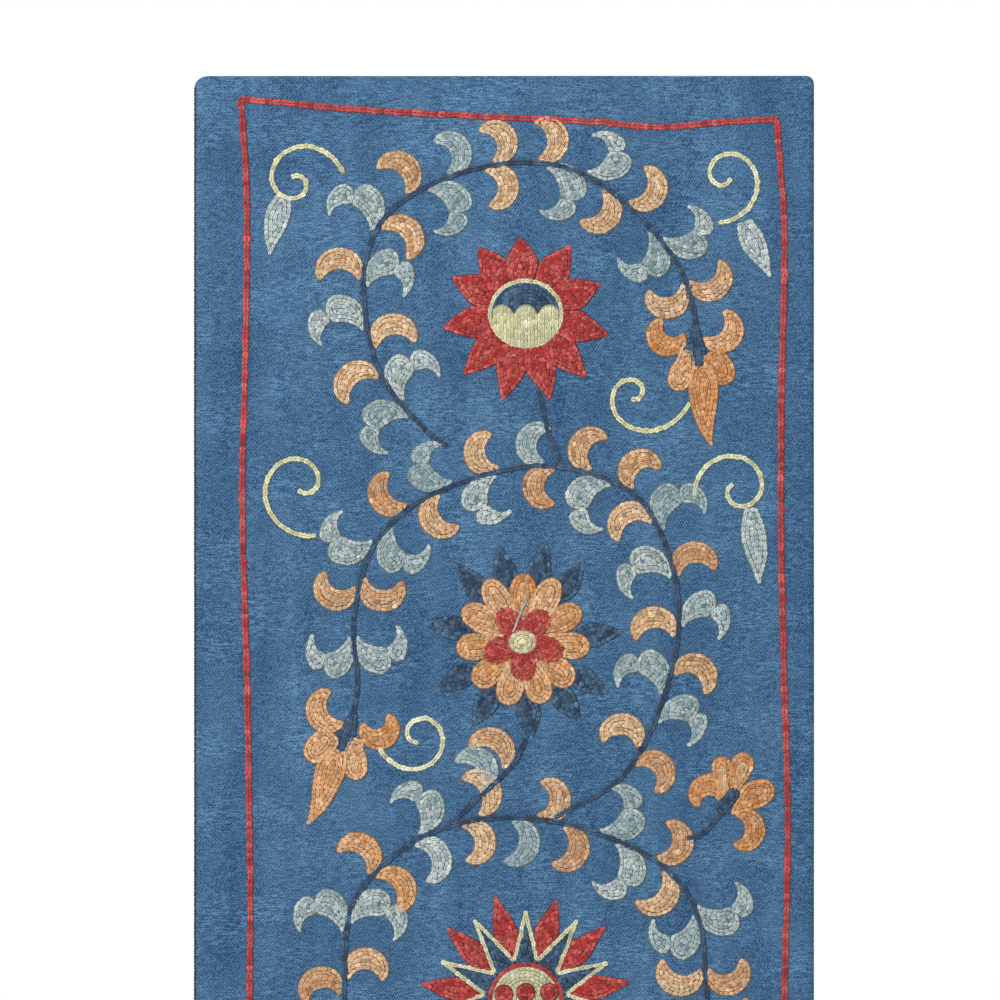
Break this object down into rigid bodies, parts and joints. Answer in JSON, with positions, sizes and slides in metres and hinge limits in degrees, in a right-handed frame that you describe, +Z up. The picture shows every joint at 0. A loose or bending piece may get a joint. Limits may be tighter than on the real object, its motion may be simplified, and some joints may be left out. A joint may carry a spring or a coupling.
{
  "type": "embroidered wall hanging",
  "caption": "Long indigo cloth panel that hangs from its top edge, with chain-stitched vines, leaves, tendrils and flowers inside a red border line.",
  "frame": {"origin": "middle of the panel's top edge, where it is hung", "axes": "+Z up along the panel's length, +X across the panel to the viewer's right, -Y out of the embroidered face"},
  "size_m": [0.4, 0.0058, 1.193],
  "materials": {
    "ground_indigo": "matt twill weave, faded indigo with soft streaks",
    "thread_peach": "chain-stitched thread, soft sheen",
    "thread_grey": "chain-stitched thread, soft sheen",
    "thread_orange": "chain-stitched thread, soft sheen",
    "thread_red": "chain-stitched thread, soft sheen",
    "thread_cream": "chain-stitched thread, soft sheen",
    "thread_navy": "chain-stitched thread, soft sheen"
  },
  "bodies": {
    "root": {"ground_cloth": "ground_indigo"}
  },
  "joints": []
}
